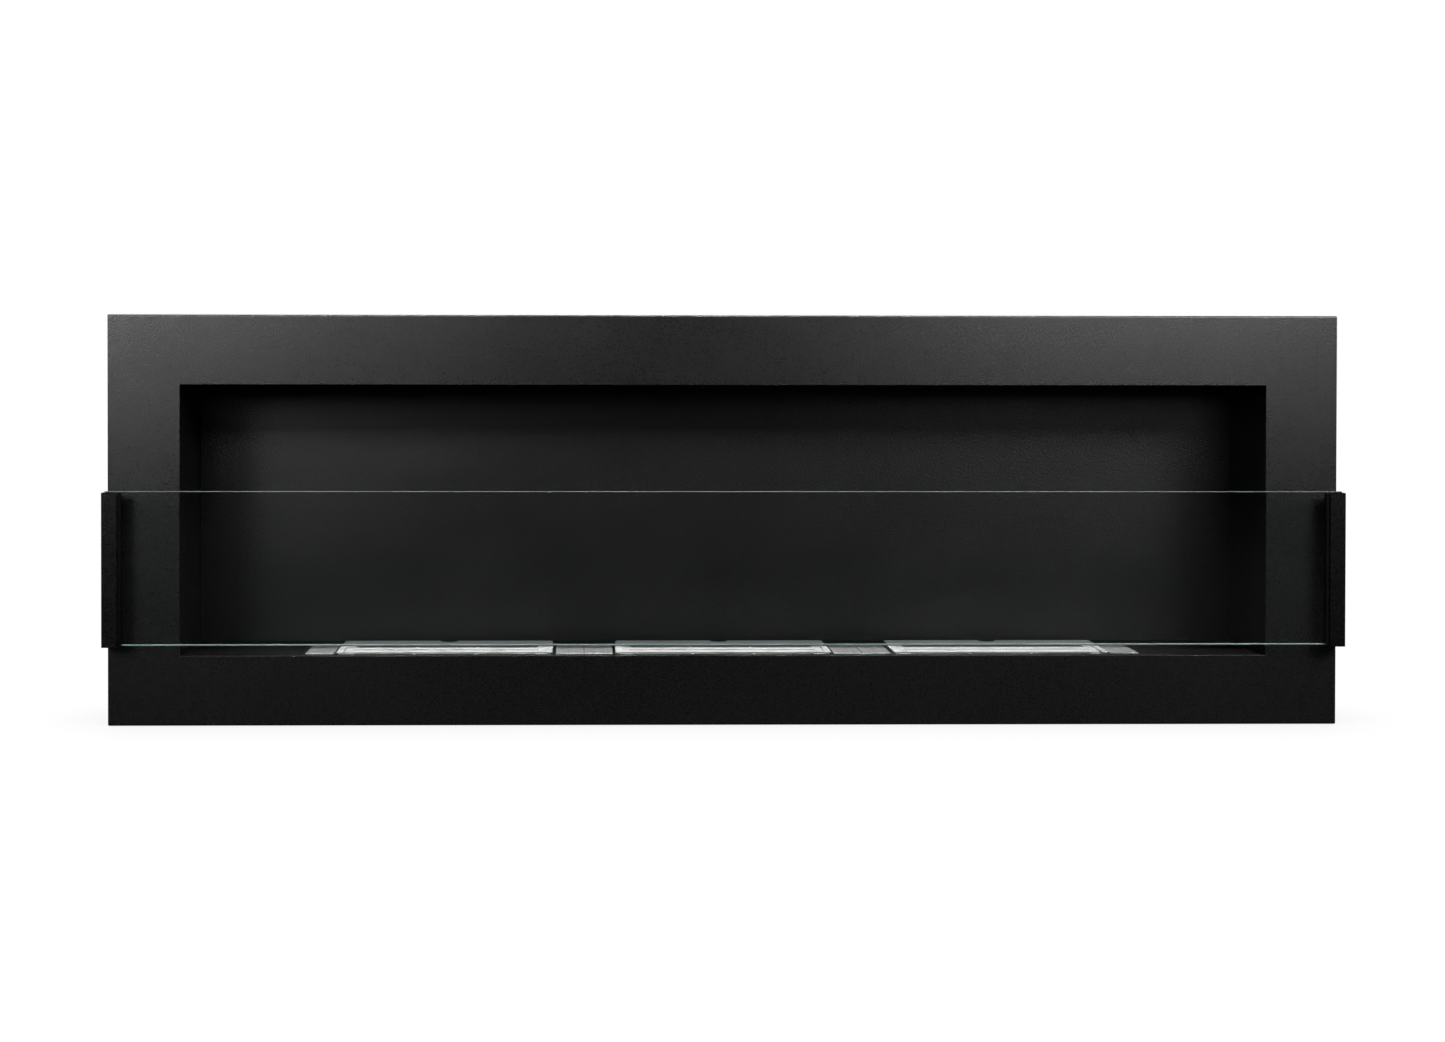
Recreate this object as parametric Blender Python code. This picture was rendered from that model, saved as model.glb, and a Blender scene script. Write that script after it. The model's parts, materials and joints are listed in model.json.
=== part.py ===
"""Recessed wall fireplace with three liquid-fuel burners and a lift-out glass screen.

Frame: +X to the right, +Y towards the wall, +Z up, so the front faces -Y. The origin is the
centre of the whole footprint, on the lowest face. Every piece hangs from one empty on the
front face's plane, so a local y is a depth behind that face. All sizes are in metres.
"""
import math

import bmesh
import bpy

# Fits
GAP = 0.0003                    # between two pieces that touch
COAT_GAP = 0.0005               # between the casing's side and a bracket, for the paint
RAIL_END_GAP = 0.0005           # between a closed regulator's grip and its guide rails

# Casing
CASING_WIDTH = 1.200
CASING_HEIGHT = 0.400
CASING_DEPTH = 0.120
SHEET = 0.0015                  # thickness of the casing's sheet
BEND_RADIUS = 0.0018            # outside radius of the casing's folds
CORNER_RADIUS = 0.0012          # ground corners between the casing's returns
EDGE_ROUND = 0.0004             # painted cut edge of the opening
SIDE_BORDER = 0.070
TOP_BORDER = 0.068
BOTTOM_BORDER = 0.068
LIP_DEPTH = 0.012               # folded lip along the opening's lower edge
REAR_FLANGE = 0.015
NICHE_FLANGE = 0.012
BACK_LIFT = 0.0011              # shadow gap under the niche's back
COVER_INSET = 0.001             # rear cover inside the casing's outline

# Hanging slots in the rear cover
KEYHOLE_SPACING = 0.900
KEYHOLE_DROP = 0.028            # top of the slot below the casing's top
KEYHOLE_RISE = 0.012            # slot's centre travel
KEYHOLE_RADIUS = 0.005
KEYHOLE_SLOT_RADIUS = 0.0025

# Rear cover screws
COVER_SCREW_SPACING = 0.560
COVER_SCREW_RADIUS = 0.0015
COVER_SCREW_HEAD_RADIUS = 0.0029
COVER_SCREW_HEAD_HEIGHT = 0.0012
COVER_SCREW_LENGTH = 0.008

# Glass screen
GLASS_HEIGHT = 0.149
GLASS_THICKNESS = 0.004
GLASS_ARRIS = 0.0004
GASKET_WALL = 0.001
GASKET_REVEAL = 0.004           # gasket showing beside the bracket's front lip
BRACKET_SHEET = 0.0012
BRACKET_BOTTOM = 0.0789
BRACKET_HEIGHT = 0.149
BRACKET_LIP = 0.015
BRACKET_REAR_LIP = 0.010
BRACKET_TAIL = 0.045            # length along the casing's side
GLASS_SETBACK = 0.0119          # space between the casing's face and the bracket's rear lip

# Bracket screws
BRACKET_SCREW_DEPTH = 0.026     # behind the face
BRACKET_SCREW_SPACING = 0.080
BRACKET_SCREW_RADIUS = 0.0019
BRACKET_SCREW_HEAD_RADIUS = 0.0038
BRACKET_SCREW_HEAD_HEIGHT = 0.002
BRACKET_SCREW_LENGTH = 0.010

# Burners
BURNER_COUNT = 3
BURNER_PITCH = 0.274
BURNER_WIDTH = 0.212
BURNER_FRONT_GAP = 0.0006       # between the casing's lip and the burner
BURNER_SHEET = 0.0008
SLOT_ROW_LENGTH = 0.178
SLOT_WIDTH = 0.0065
SLOT_RIB = 0.003
SLOTS_PER_ROW = 3
FRONT_STRIP = 0.0024            # in front of the front slot row
MIDDLE_STRIP = 0.0405           # between the slot rows
REAR_STRIP = 0.0075             # behind the rear slot row
TANK_HEIGHT = 0.045
TANK_END_MARGIN = 0.005         # tank beyond the slots, at each end
TANK_SIDE_MARGIN = 0.0003       # tank beyond the slots, front and back
TANK_CLEARANCE = 0.0005         # round the tank, in the floor's cut-out
WOOL_CLEARANCE = 0.0005
WOOL_ROUND = 0.001

# Regulators
REGULATOR_OVERLAP = 0.0005      # over each long edge of a slot when closed
REGULATOR_SHEET = 0.0008
BAND_DEPTH = 0.0355             # front strip that closes the front slots
BEAD_OFFSET = 0.015             # pressed bead behind the band's front edge
BEAD_WIDTH = 0.007
BEAD_HEIGHT = 0.0004
BEAD_END = 0.012                # from the band's end to the bead
WINDOW_MARGIN = 0.002           # window beyond the slots, at each end
GRIP_DEPTH = 0.030
GRIP_WIDTH = 0.2106
GRIP_HEIGHT = 0.0024
GRIP_CORNER = 0.004
NOTCH_RADIUS = 0.00875
NOTCH_OFFSET = 0.001            # notch centre in front of the grip's rear edge

# Guide rails
RAIL_WIDTH = 0.0065
RAIL_WEB = 0.0015
RAIL_LIP = 0.0006
RAIL_FRONT = 0.0015             # behind the burner's front edge

# Trim plates
TRIM_SHEET = 0.0012
TRIM_FRONT = 0.018
TRIM_DEPTH = 0.060
TRIM_BURNER_GAP = 0.003
TRIM_JOINT = 0.0006
TRIM_ROUND = 0.0002

# Smoothness of round shapes
BEND_STEPS = 4
CORNER_STEPS = 2
ROUND_SIDES = 20
NOTCH_STEPS = 12
SMOOTH_ANGLE = math.radians(35)
CUT_OVERRUN = 0.002             # how far a cutter runs past what it cuts

# Places worked out from the sizes above
SLOT_TRAVEL = SLOT_WIDTH + 2 * REGULATOR_OVERLAP
CHANNEL_DEPTH = GLASS_THICKNESS + 2 * GASKET_WALL + 4 * GAP
GLASS_STANDOFF = GLASS_SETBACK + 2 * BRACKET_SHEET + CHANNEL_DEPTH
FACE_Y = -(CASING_DEPTH - GLASS_STANDOFF) / 2

HALF_WIDTH = CASING_WIDTH / 2
OPENING_HALF = HALF_WIDTH - SIDE_BORDER
OPENING_LOW = BOTTOM_BORDER
OPENING_HIGH = CASING_HEIGHT - TOP_BORDER
COVER_FRONT = CASING_DEPTH - SHEET
RETURN_DEPTH = COVER_FRONT - GAP
NICHE_FRONT = SHEET + GAP
NICHE_DEPTH = RETURN_DEPTH - 2 * SHEET - GAP
FLOOR_TOP = OPENING_LOW - SHEET - GAP
CEILING_BOTTOM = OPENING_HIGH + GAP
WALL_INSIDE = OPENING_HALF + GAP

BRACKET_INSIDE = HALF_WIDTH + COAT_GAP
BRACKET_OUTSIDE = BRACKET_INSIDE + BRACKET_SHEET
CHANNEL_FRONT = -GLASS_STANDOFF + BRACKET_SHEET
CHANNEL_REAR = CHANNEL_FRONT + CHANNEL_DEPTH
GLASS_BOTTOM = BRACKET_BOTTOM + BRACKET_SHEET + GAP
GLASS_FRONT = CHANNEL_FRONT + GASKET_WALL + 2 * GAP
GASKET_OUTSIDE = BRACKET_INSIDE - GAP
GLASS_HALF = GASKET_OUTSIDE - GASKET_WALL - GAP

BURNER_FRONT = LIP_DEPTH + BURNER_FRONT_GAP
FRONT_SLOT = BURNER_FRONT + FRONT_STRIP
REAR_SLOT = FRONT_SLOT + SLOT_WIDTH + MIDDLE_STRIP
BURNER_REAR = REAR_SLOT + SLOT_WIDTH + REAR_STRIP
BURNER_BOTTOM = FLOOR_TOP + GAP
BURNER_TOP = BURNER_BOTTOM + BURNER_SHEET
TANK_FRONT = FRONT_SLOT - TANK_SIDE_MARGIN - BURNER_SHEET
TANK_REAR = REAR_SLOT + SLOT_WIDTH + TANK_SIDE_MARGIN + BURNER_SHEET
TANK_HALF = SLOT_ROW_LENGTH / 2 + TANK_END_MARGIN + BURNER_SHEET
TANK_TOP = BURNER_BOTTOM - GAP
TANK_BOTTOM = TANK_TOP - TANK_HEIGHT
REGULATOR_BOTTOM = BURNER_TOP + GAP
REGULATOR_TOP = REGULATOR_BOTTOM + REGULATOR_SHEET
BAND_FRONT = FRONT_SLOT + SLOT_WIDTH + REGULATOR_OVERLAP
BAND_REAR = BAND_FRONT + BAND_DEPTH
BAND_HALF = BURNER_WIDTH / 2 - RAIL_WEB - GAP
GRIP_FRONT = REAR_SLOT + SLOT_WIDTH + REGULATOR_OVERLAP
GRIP_REAR = GRIP_FRONT + GRIP_DEPTH
RAIL_REAR = GRIP_FRONT - SLOT_TRAVEL - RAIL_END_GAP


# Helpers

def clear_scene():
    for item in list(bpy.data.objects):
        bpy.data.objects.remove(item, do_unlink=True)


def make_material(name, colour, roughness, metallic, alpha=1.0):
    material = bpy.data.materials.new(name)
    material.use_nodes = True
    shader = material.node_tree.nodes["Principled BSDF"]
    shader.inputs["Base Color"].default_value = (*colour, 1.0)
    shader.inputs["Roughness"].default_value = roughness
    shader.inputs["Metallic"].default_value = metallic
    shader.inputs["Alpha"].default_value = alpha
    return material


def make_empty(name, parent=None, location=(0.0, 0.0, 0.0)):
    empty = bpy.data.objects.new(name, None)
    bpy.context.collection.objects.link(empty)
    empty.parent = parent
    empty.location = location
    return empty


def make_object(name, mesh_builder, parent, material=None, location=(0.0, 0.0, 0.0)):
    """Turn a bmesh into a named object with outward faces."""
    bmesh.ops.recalc_face_normals(mesh_builder, faces=mesh_builder.faces)
    mesh = bpy.data.meshes.new(name)
    mesh_builder.to_mesh(mesh)
    mesh_builder.free()
    item = bpy.data.objects.new(name, mesh)
    bpy.context.collection.objects.link(item)
    item.parent = parent
    item.location = location
    if material is not None:
        mesh.materials.append(material)
    return item


def smooth(item):
    item.data.shade_smooth()
    item.data.set_sharp_from_angle(angle=SMOOTH_ANGLE)


def add_bevel(item, width, segments=2):
    bevel = item.modifiers.new("edge_round", "BEVEL")
    bevel.width = width
    bevel.segments = segments
    bevel.limit_method = "ANGLE"


def add_boolean(item, tool, operation):
    """Combine an object with a hidden tool object, which shares its parent and place."""
    tool.parent = item.parent
    tool.location = item.location
    tool.hide_render = True
    tool.display_type = "WIRE"
    boolean = item.modifiers.new(tool.name, "BOOLEAN")
    boolean.operation = operation
    boolean.solver = "EXACT"
    boolean.object = tool


def add_box(mesh_builder, low, high):
    corners = []
    for z in (low[2], high[2]):
        for x, y in ((low[0], low[1]), (high[0], low[1]), (high[0], high[1]), (low[0], high[1])):
            corners.append(mesh_builder.verts.new((x, y, z)))
    bottom, top = corners[:4], corners[4:]
    mesh_builder.faces.new(bottom[::-1])
    mesh_builder.faces.new(top)
    for i in range(4):
        j = (i + 1) % 4
        mesh_builder.faces.new((bottom[i], bottom[j], top[j], top[i]))


def boxes(*corner_pairs):
    mesh_builder = bmesh.new()
    for low, high in corner_pairs:
        add_box(mesh_builder, low, high)
    return mesh_builder


def extrusion(outline, place, start, end):
    """Closed prism: place(u, v, w) gives the point for outline point (u, v) at length w."""
    mesh_builder = bmesh.new()
    near = [mesh_builder.verts.new(place(u, v, start)) for u, v in outline]
    far = [mesh_builder.verts.new(place(u, v, end)) for u, v in outline]
    mesh_builder.faces.new(near)
    mesh_builder.faces.new(far[::-1])
    for i in range(len(outline)):
        j = (i + 1) % len(outline)
        mesh_builder.faces.new((near[i], near[j], far[j], far[i]))
    return mesh_builder


def along_x(u, v, w):
    return (w, u, v)


def along_z(u, v, w):
    return (u, v, w)


def arc(centre, radius, start, end, steps):
    """Points of an arc, with its angles in degrees."""
    points = []
    for i in range(steps + 1):
        angle = math.radians(start + (end - start) * i / steps)
        points.append((centre[0] + radius * math.cos(angle), centre[1] + radius * math.sin(angle)))
    return points


def add_turned(mesh_builder, profile, place):
    """Closed turned body: profile is (radius, length) from one end's centre to the other's."""
    rings = []
    for radius, length in profile:
        if radius == 0.0:
            rings.append([mesh_builder.verts.new(place(0.0, 0.0, length))])
            continue
        ring = []
        for i in range(ROUND_SIDES):
            angle = 2 * math.pi * i / ROUND_SIDES
            ring.append(mesh_builder.verts.new(
                place(radius * math.cos(angle), radius * math.sin(angle), length)))
        rings.append(ring)
    for near, far in zip(rings, rings[1:]):
        for i in range(ROUND_SIDES):
            j = (i + 1) % ROUND_SIDES
            corners = [near[i % len(near)], near[j % len(near)], far[j % len(far)], far[i % len(far)]]
            mesh_builder.faces.new(list(dict.fromkeys(corners)))


def cylinders(radius, start, end, centres, place):
    """One cutter made of equal round pins, whose centres are in place's own axes."""
    mesh_builder = bmesh.new()
    for cu, cv in centres:
        def shifted(u, v, w, cu=cu, cv=cv):
            return place(cu + u, cv + v, w)
        add_turned(mesh_builder, [(0.0, start), (radius, start), (radius, end), (0.0, end)], shifted)
    return mesh_builder


def along_y(u, v, w):
    return (u, w, v)


# Casing

def rectangle_ring(half_width, low, high, radius, depth):
    """Corner-rounded rectangle round the casing, the same number of points each time."""
    points = []
    corners = (
        (half_width - radius, low + radius, -90),
        (half_width - radius, high - radius, 0),
        (-half_width + radius, high - radius, 90),
        (-half_width + radius, low + radius, 180),
    )
    for x, z, start in corners:
        points += [(u, depth, v) for u, v in arc((x, z), radius, start, start + 90, CORNER_STEPS)]
    return points


def casing_ring(inset, depth):
    radius = max(CORNER_RADIUS - inset, EDGE_ROUND / 2)
    return rectangle_ring(HALF_WIDTH - inset, inset, CASING_HEIGHT - inset, radius, depth)


def opening_ring(grow, depth):
    """Ring round the opening, grown outwards by grow."""
    return rectangle_ring(
        OPENING_HALF + grow, OPENING_LOW - grow, OPENING_HIGH + grow, EDGE_ROUND, depth)


def folded_frame_mesh():
    """One folded sheet: face, outer bend, return, rear bend and rear flange, all round."""
    inner = BEND_RADIUS - SHEET
    steps = [90 * i / BEND_STEPS for i in range(BEND_STEPS + 1)]
    angles = [(math.cos(math.radians(a)), math.sin(math.radians(a))) for a in steps]
    rings = [opening_ring(EDGE_ROUND, 0.0)]
    rings += [casing_ring(BEND_RADIUS * (1 - s), BEND_RADIUS * (1 - c)) for c, s in angles]
    rings += [casing_ring(BEND_RADIUS * (1 - c), RETURN_DEPTH - BEND_RADIUS * (1 - s))
              for c, s in angles]
    rings.append(casing_ring(REAR_FLANGE, RETURN_DEPTH))
    rings.append(casing_ring(REAR_FLANGE, RETURN_DEPTH - SHEET))
    rings += [casing_ring(BEND_RADIUS - inner * s, RETURN_DEPTH - BEND_RADIUS + inner * c)
              for c, s in angles]
    rings += [casing_ring(BEND_RADIUS - inner * c, BEND_RADIUS - inner * s) for c, s in angles]
    rings.append(opening_ring(EDGE_ROUND, SHEET))
    rings.append(opening_ring(0.0, SHEET - EDGE_ROUND))
    rings.append(opening_ring(0.0, EDGE_ROUND))
    rings.append(opening_ring(EDGE_ROUND * (1 - math.sqrt(0.5)), EDGE_ROUND * (1 - math.sqrt(0.5))))

    mesh_builder = bmesh.new()
    loops = [[mesh_builder.verts.new(point) for point in ring] for ring in rings]
    for near, far in zip(loops, loops[1:] + loops[:1]):
        for i in range(len(near)):
            j = (i + 1) % len(near)
            mesh_builder.faces.new((near[i], near[j], far[j], far[i]))
    return mesh_builder


def cover_screw_places():
    edge = REAR_FLANGE / 2
    columns = (-COVER_SCREW_SPACING, 0.0, COVER_SCREW_SPACING)
    return [(x, z) for z in (edge, CASING_HEIGHT - edge) for x in columns]


def bracket_screw_places():
    middle = BRACKET_BOTTOM + BRACKET_HEIGHT / 2
    offset = BRACKET_SCREW_SPACING / 2
    return {
        "lower": (BRACKET_SCREW_DEPTH, middle - offset),
        "upper": (BRACKET_SCREW_DEPTH, middle + offset),
    }


def make_front_frame(root, material):
    frame = make_object("front_frame", folded_frame_mesh(), root, material)
    lip_end = OPENING_HALF - GAP
    lip = boxes(((-lip_end, SHEET / 2, OPENING_LOW - SHEET), (lip_end, LIP_DEPTH, OPENING_LOW)))
    add_boolean(frame, make_object("lip_tool", lip, root), "UNION")

    hole = COVER_SCREW_RADIUS + GAP
    flange_holes = cylinders(hole, RETURN_DEPTH - SHEET - CUT_OVERRUN, RETURN_DEPTH + CUT_OVERRUN,
                             cover_screw_places(), along_y)
    add_boolean(frame, make_object("flange_hole_tool", flange_holes, root), "DIFFERENCE")

    hole = BRACKET_SCREW_RADIUS + GAP
    for side, name in ((-1, "left"), (1, "right")):
        inner = side * (HALF_WIDTH - SHEET - CUT_OVERRUN)
        outer = side * (HALF_WIDTH + CUT_OVERRUN)
        side_holes = cylinders(hole, inner, outer, bracket_screw_places().values(), along_x)
        add_boolean(frame, make_object(f"side_hole_tool_{name}", side_holes, root), "DIFFERENCE")
    smooth(frame)
    return frame


def keyhole_centres():
    high = CASING_HEIGHT - KEYHOLE_DROP - KEYHOLE_SLOT_RADIUS
    return [(side * KEYHOLE_SPACING / 2, high) for side in (-1, 1)]


def make_rear_cover(root, material):
    half = HALF_WIDTH - COVER_INSET
    plate = boxes(((-half, COVER_FRONT, COVER_INSET), (half, CASING_DEPTH, CASING_HEIGHT - COVER_INSET)))
    cover = make_object("rear_cover", plate, root, material)

    start = COVER_FRONT - CUT_OVERRUN
    end = CASING_DEPTH + CUT_OVERRUN
    tops = keyhole_centres()
    bottoms = [(x, z - KEYHOLE_RISE) for x, z in tops]
    slots = boxes(*(((x - KEYHOLE_SLOT_RADIUS, start, z - KEYHOLE_RISE),
                     (x + KEYHOLE_SLOT_RADIUS, end, z)) for x, z in tops))
    for name, tool in (
        ("keyhole_round_tool", cylinders(KEYHOLE_RADIUS, start, end, bottoms, along_y)),
        ("keyhole_slot_tool", slots),
        ("keyhole_end_tool", cylinders(KEYHOLE_SLOT_RADIUS, start, end, tops, along_y)),
    ):
        add_boolean(cover, make_object(name, tool, root), "DIFFERENCE")

    sinks = bmesh.new()
    hole = COVER_SCREW_RADIUS + GAP
    mouth = COVER_SCREW_HEAD_RADIUS + GAP
    profile = [(0.0, start), (hole, start), (hole, CASING_DEPTH - COVER_SCREW_HEAD_HEIGHT),
               (mouth, CASING_DEPTH), (mouth, end), (0.0, end)]
    for x, z in cover_screw_places():
        add_turned(sinks, profile, lambda u, v, w, x=x, z=z: (x + u, w, z + v))
    add_boolean(cover, make_object("countersink_tool", sinks, root), "DIFFERENCE")
    return cover


def make_cover_screws(root, material):
    seat = CASING_DEPTH
    neck = seat - COVER_SCREW_HEAD_HEIGHT
    tip = CASING_DEPTH - COVER_SCREW_LENGTH
    profile = [(0.0, seat), (COVER_SCREW_HEAD_RADIUS, seat), (COVER_SCREW_RADIUS, neck),
               (COVER_SCREW_RADIUS, tip + COVER_SCREW_RADIUS), (COVER_SCREW_RADIUS / 2, tip), (0.0, tip)]
    for number, (x, z) in enumerate(cover_screw_places(), start=1):
        mesh_builder = bmesh.new()
        add_turned(mesh_builder, profile, along_y)
        smooth(make_object(f"rear_cover_screw_{number}", mesh_builder, root, material, (x, 0.0, z)))


def make_niche(root, material):
    """Four folded sheets behind the face, and the back against their rear flanges."""
    rear = RETURN_DEPTH
    flange = NICHE_FLANGE
    half = OPENING_HALF
    floor_bottom = FLOOR_TOP - SHEET
    ceiling_top = CEILING_BOTTOM + SHEET

    floor = [
        (NICHE_FRONT, FLOOR_TOP - flange), (NICHE_FRONT + SHEET, FLOOR_TOP - flange),
        (NICHE_FRONT + SHEET, floor_bottom), (rear, floor_bottom), (rear, FLOOR_TOP + flange),
        (rear - SHEET, FLOOR_TOP + flange), (rear - SHEET, FLOOR_TOP), (NICHE_FRONT, FLOOR_TOP),
    ]
    floor_item = make_object("niche_floor", extrusion(floor, along_x, -half, half), root, material)
    cut_half = TANK_HALF + TANK_CLEARANCE
    cutouts = boxes(*(
        ((x - cut_half, TANK_FRONT - TANK_CLEARANCE, floor_bottom - CUT_OVERRUN),
         (x + cut_half, TANK_REAR + TANK_CLEARANCE, FLOOR_TOP + CUT_OVERRUN))
        for x in burner_centres()))
    add_boolean(floor_item, make_object("floor_cutout_tool", cutouts, root), "DIFFERENCE")

    ceiling = [
        (NICHE_FRONT, CEILING_BOTTOM + flange), (NICHE_FRONT + SHEET, CEILING_BOTTOM + flange),
        (NICHE_FRONT + SHEET, ceiling_top), (rear, ceiling_top), (rear, CEILING_BOTTOM - flange),
        (rear - SHEET, CEILING_BOTTOM - flange), (rear - SHEET, CEILING_BOTTOM),
        (NICHE_FRONT, CEILING_BOTTOM),
    ]
    make_object("niche_ceiling", extrusion(ceiling, along_x, -half, half), root, material)

    for side, name in ((-1, "left"), (1, "right")):
        inside = side * WALL_INSIDE
        outside = side * (WALL_INSIDE + SHEET)
        edge = side * (WALL_INSIDE + flange)
        wall = [
            (inside, NICHE_FRONT), (edge, NICHE_FRONT), (edge, NICHE_FRONT + SHEET),
            (outside, NICHE_FRONT + SHEET), (outside, rear - SHEET), (edge, rear - SHEET),
            (edge, rear), (inside, rear),
        ]
        prism = extrusion(wall, along_z, floor_bottom, ceiling_top)
        make_object(f"niche_wall_{name}", prism, root, material)

    back = boxes(((-half, NICHE_DEPTH, FLOOR_TOP + BACK_LIFT),
                  (half, NICHE_DEPTH + SHEET, CEILING_BOTTOM - GAP)))
    back_item = make_object("niche_back", back, root, material)
    add_bevel(back_item, EDGE_ROUND)


# Glass screen

def bracket_outline(side):
    lip = BRACKET_OUTSIDE - BRACKET_LIP
    rear_lip = BRACKET_OUTSIDE - BRACKET_REAR_LIP
    bend = BRACKET_SHEET
    corner = arc((BRACKET_OUTSIDE - bend, -GLASS_STANDOFF + bend), bend, 0, -90, BEND_STEPS)
    points = [(BRACKET_OUTSIDE, BRACKET_TAIL)] + corner + [
        (lip, -GLASS_STANDOFF), (lip, CHANNEL_FRONT), (BRACKET_INSIDE, CHANNEL_FRONT),
        (BRACKET_INSIDE, CHANNEL_REAR), (rear_lip, CHANNEL_REAR),
        (rear_lip, CHANNEL_REAR + BRACKET_SHEET), (BRACKET_INSIDE, CHANNEL_REAR + BRACKET_SHEET),
        (BRACKET_INSIDE, BRACKET_TAIL),
    ]
    return [(side * u, v) for u, v in points]


def gasket_outline(side):
    reveal = BRACKET_OUTSIDE - BRACKET_LIP - GASKET_REVEAL
    web = GASKET_OUTSIDE - GASKET_WALL
    front = CHANNEL_FRONT + GAP
    rear = CHANNEL_REAR - GAP
    points = [
        (reveal, front), (GASKET_OUTSIDE, front), (GASKET_OUTSIDE, rear), (reveal, rear),
        (reveal, rear - GASKET_WALL), (web, rear - GASKET_WALL), (web, front + GASKET_WALL),
        (reveal, front + GASKET_WALL),
    ]
    return [(side * u, v) for u, v in points]


def make_bracket(side, name, root, paint, rubber):
    bottom = BRACKET_BOTTOM
    top = BRACKET_BOTTOM + BRACKET_HEIGHT
    bracket = make_object(f"glass_bracket_{name}",
                          extrusion(bracket_outline(side), along_z, bottom, top), root, paint)
    into = BRACKET_SHEET / 2
    reach = sorted((side * (BRACKET_OUTSIDE - BRACKET_REAR_LIP), side * (BRACKET_INSIDE + into)))
    tab = boxes(((reach[0], CHANNEL_FRONT - into, bottom),
                 (reach[1], CHANNEL_REAR + into, bottom + BRACKET_SHEET)))
    add_boolean(bracket, make_object(f"bracket_tab_tool_{name}", tab, root), "UNION")
    holes = cylinders(BRACKET_SCREW_RADIUS + GAP, side * (BRACKET_INSIDE - CUT_OVERRUN),
                      side * (BRACKET_OUTSIDE + CUT_OVERRUN), bracket_screw_places().values(), along_x)
    add_boolean(bracket, make_object(f"bracket_hole_tool_{name}", holes, root), "DIFFERENCE")
    smooth(bracket)

    gasket = extrusion(gasket_outline(side), along_z, GLASS_BOTTOM, top)
    make_object(f"glass_gasket_{name}", gasket, root, rubber)


def make_bracket_screws(side, name, root, material):
    seat = BRACKET_OUTSIDE + GAP
    head = BRACKET_SCREW_HEAD_RADIUS
    height = BRACKET_SCREW_HEAD_HEIGHT
    tip = seat - BRACKET_SCREW_LENGTH
    dome = [(head * math.cos(math.radians(a)), seat + height * (0.4 + 0.6 * math.sin(math.radians(a))))
            for a in (0, 25, 50)]
    profile = [(0.0, tip), (BRACKET_SCREW_RADIUS * 0.8, tip), (BRACKET_SCREW_RADIUS, tip + GAP * 2),
               (BRACKET_SCREW_RADIUS, seat), (head, seat)] + dome + [(0.0, dome[-1][1])]
    for level, (y, z) in bracket_screw_places().items():
        mesh_builder = bmesh.new()
        add_turned(mesh_builder, profile, lambda u, v, w: (side * w, u, v))
        smooth(make_object(f"bracket_screw_{name}_{level}", mesh_builder, root, material, (0.0, y, z)))


def make_glass(root, material):
    """The pane's origin is at the middle of its lower edge, where it slides up from."""
    seat = make_empty("glass_slide", root, (0.0, GLASS_FRONT, GLASS_BOTTOM))
    pane = boxes(((-GLASS_HALF, 0.0, 0.0), (GLASS_HALF, GLASS_THICKNESS, GLASS_HEIGHT)))
    add_bevel(make_object("glass_pane", pane, seat, material), GLASS_ARRIS)


# Burners

def burner_centres():
    middle = (BURNER_COUNT - 1) / 2
    return [(i - middle) * BURNER_PITCH for i in range(BURNER_COUNT)]


def slot_boxes():
    length = (SLOT_ROW_LENGTH - (SLOTS_PER_ROW - 1) * SLOT_RIB) / SLOTS_PER_ROW
    pairs = []
    for front in (FRONT_SLOT, REAR_SLOT):
        for i in range(SLOTS_PER_ROW):
            left = -SLOT_ROW_LENGTH / 2 + i * (length + SLOT_RIB)
            pairs.append(((left, front, BURNER_BOTTOM - CUT_OVERRUN),
                          (left + length, front + SLOT_WIDTH, BURNER_TOP + CUT_OVERRUN)))
    return boxes(*pairs)


def make_burner_body(number, seat, polished, steel, wool):
    half = BURNER_WIDTH / 2
    plate = boxes(((-half, BURNER_FRONT, BURNER_BOTTOM), (half, BURNER_REAR, BURNER_TOP)))
    top = make_object(f"burner_top_{number}", plate, seat, polished)
    add_boolean(top, make_object(f"slot_tool_{number}", slot_boxes(), seat), "DIFFERENCE")

    tank = make_object(f"fuel_tank_{number}", boxes(
        ((-TANK_HALF, TANK_FRONT, TANK_BOTTOM), (TANK_HALF, TANK_REAR, TANK_TOP))), seat, steel)
    wall = BURNER_SHEET
    hollow = boxes(((-TANK_HALF + wall, TANK_FRONT + wall, TANK_BOTTOM + wall),
                    (TANK_HALF - wall, TANK_REAR - wall, TANK_TOP + CUT_OVERRUN)))
    add_boolean(tank, make_object(f"tank_hollow_tool_{number}", hollow, seat), "DIFFERENCE")

    inset = wall + WOOL_CLEARANCE
    block = boxes(((-TANK_HALF + inset, TANK_FRONT + inset, TANK_BOTTOM + wall + GAP),
                   (TANK_HALF - inset, TANK_REAR - inset, TANK_TOP - WOOL_CLEARANCE)))
    add_bevel(make_object(f"ceramic_wool_{number}", block, seat, wool), WOOL_ROUND)


def make_guide_rails(number, seat, material):
    """Hook-section rails: a web on the burner's edge and a lip over the regulator's."""
    outer = BURNER_WIDTH / 2
    front = BURNER_FRONT + RAIL_FRONT
    low = BURNER_TOP + GAP
    under = REGULATOR_TOP + GAP
    for side, name in ((-1, "left"), (1, "right")):
        outline = [
            (side * outer, low), (side * (outer - RAIL_WEB), low), (side * (outer - RAIL_WEB), under),
            (side * (outer - RAIL_WIDTH), under), (side * (outer - RAIL_WIDTH), under + RAIL_LIP),
            (side * outer, under + RAIL_LIP),
        ]
        rail = extrusion(outline, along_y, front, RAIL_REAR)
        make_object(f"guide_rail_{number}_{name}", rail, seat, material)


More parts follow.
